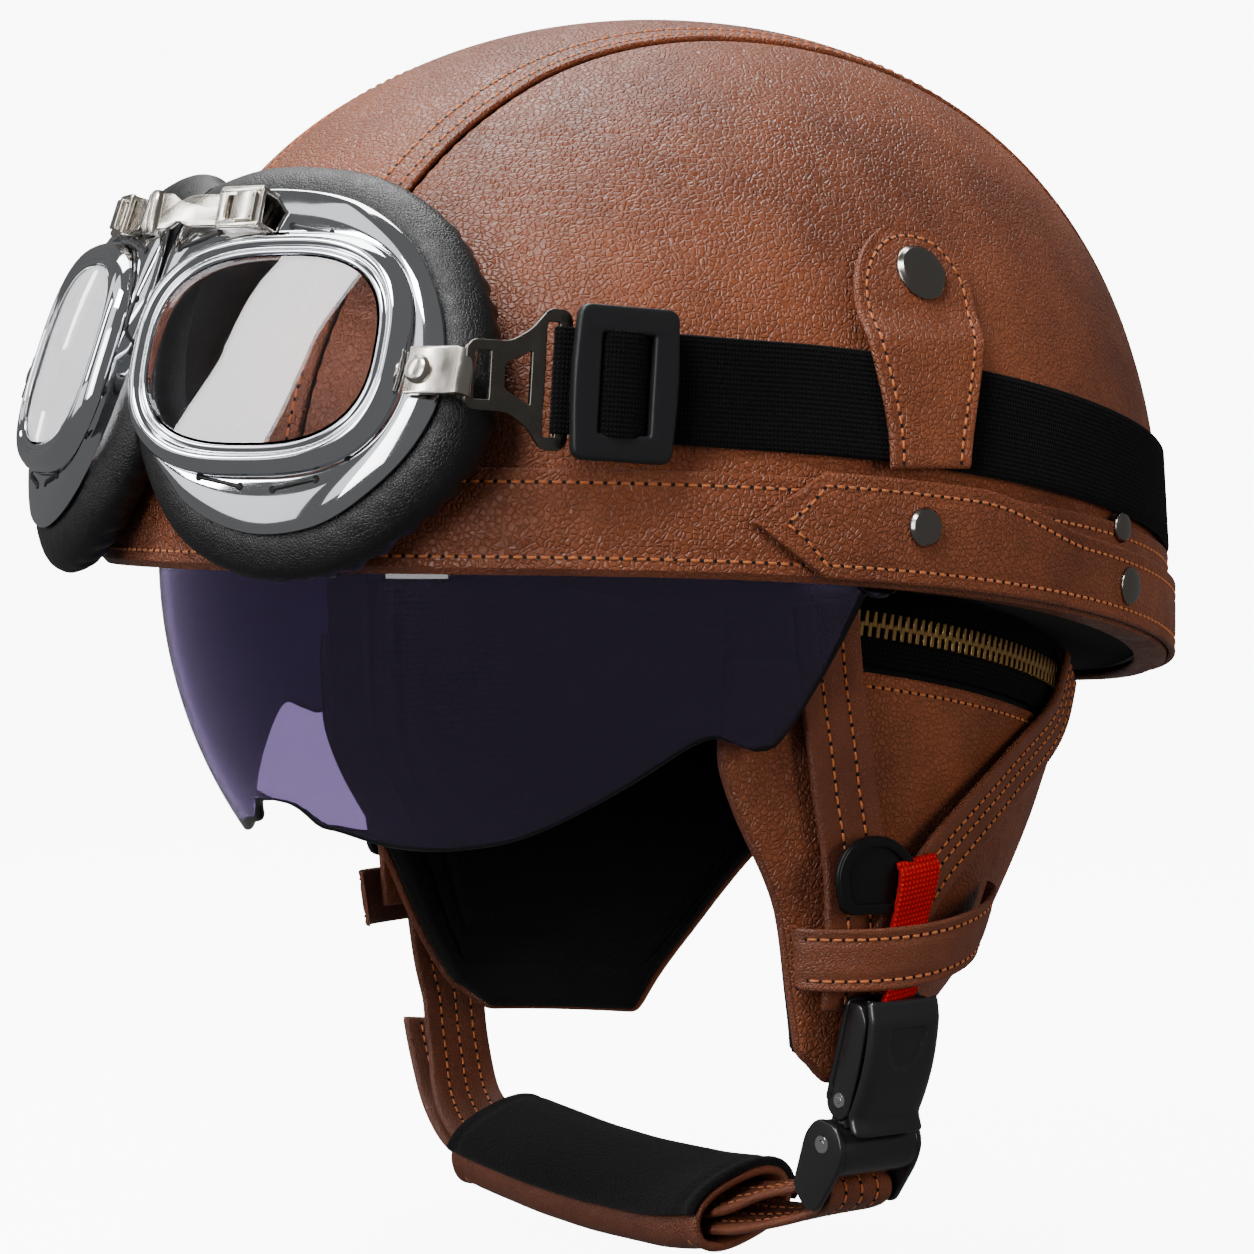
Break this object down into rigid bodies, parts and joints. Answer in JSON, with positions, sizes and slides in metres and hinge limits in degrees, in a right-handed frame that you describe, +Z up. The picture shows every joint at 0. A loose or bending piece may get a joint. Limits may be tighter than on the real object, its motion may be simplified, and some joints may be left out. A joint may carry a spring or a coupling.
{
  "type": "motorcycle half helmet",
  "caption": "Leather-covered half helmet with goggles on an elastic band, a swing-down sun visor, a zipped-on ear and neck curtain and a padded chin strap.",
  "frame": {"origin": "centre of the head opening, level with the front of the rim, where the helmet sits on a head", "axes": "+Z up through the crown, -Y towards the helmet's front, +X towards the wearer's left"},
  "size_m": [0.245, 0.302, 0.3063],
  "materials": {
    "leather": "grained, waxed brown leather with a soft sheen",
    "strap_leather": "smooth-grained brown strap leather",
    "black_leather": "soft black leather, gathered and padded",
    "shell": "moulded black shell",
    "liner": "black cloth over foam",
    "fabric": "black brushed lining and fleece",
    "elastic": "black ribbed elastic webbing",
    "zip_tape": "black woven tape",
    "red_ribbon": "red woven ribbon",
    "chrome": "mirror chrome",
    "steel": "satin nickel",
    "gunmetal": "dark polished nickel",
    "brass": "antique brass",
    "black_metal": "satin black enamel",
    "black_plastic": "fine-textured black plastic",
    "smoked_lens": "smoked clear plastic",
    "clear_lens": "clear polished lens"
  },
  "bodies": {
    "helmet": {"shell": "shell", "liner": "liner", "crown_panel": "leather", "side_panel_left": "leather", "side_panel_right": "leather", "rim_band": "leather", "rear_band": "leather", "elastic_band": "elastic", "elastic_tab_left": "leather", "elastic_tab_right": "leather", "tab_snap_left": "gunmetal", "tab_snap_right": "gunmetal", "band_snap_left": "gunmetal", "band_snap_right": "gunmetal", "rear_snap_low_left": "gunmetal", "rear_snap_low_right": "gunmetal", "rear_snap_high_left": "gunmetal", "rear_snap_high_right": "gunmetal", "visor_pivot_left": "black_plastic", "visor_pivot_right": "black_plastic", "goggle_pad_left": "black_leather", "goggle_pad_right": "black_leather", "goggle_frame_left": "chrome", "goggle_frame_right": "chrome", "goggle_bezel_left": "chrome", "goggle_bezel_right": "chrome", "goggle_lens_left": "clear_lens", "goggle_lens_right": "clear_lens", "side_clip_left": "steel", "side_clip_right": "steel", "goggle_hook_left": "gunmetal", "goggle_hook_right": "gunmetal", "adjuster_left": "black_plastic", "adjuster_right": "black_plastic", "elastic_loop_left": "elastic", "elastic_loop_right": "elastic", "bridge_link": "steel", "curtain": "leather", "curtain_lining": "fabric", "zip_tape_upper": "zip_tape", "zip_chain": "brass", "zip_tape_lower": "zip_tape", "front_strap_left": "strap_leather", "front_strap_right": "strap_leather", "rear_strap_left": "strap_leather", "rear_strap_right": "strap_leather", "keeper_left": "strap_leather", "keeper_right": "strap_leather", "strap_divider_left": "black_plastic", "strap_divider_right": "black_plastic", "pull_ribbon": "red_ribbon", "buckle_body": "black_metal", "buckle_lever": "black_metal", "buckle_link": "black_metal", "buckle_loop": "black_metal", "chin_strap": "strap_leather", "chin_sleeve": "strap_leather", "chin_fleece": "fabric"},
    "sun_visor": {"visor": "smoked_lens"}
  },
  "joints": [
    {"name": "visor_pivot", "type": "hinge", "parent": "helmet", "child": "sun_visor", "pos_m": [0, -0.01, 0], "axis": [-1, 0, 0], "range_deg": [0, 38]}
  ]
}
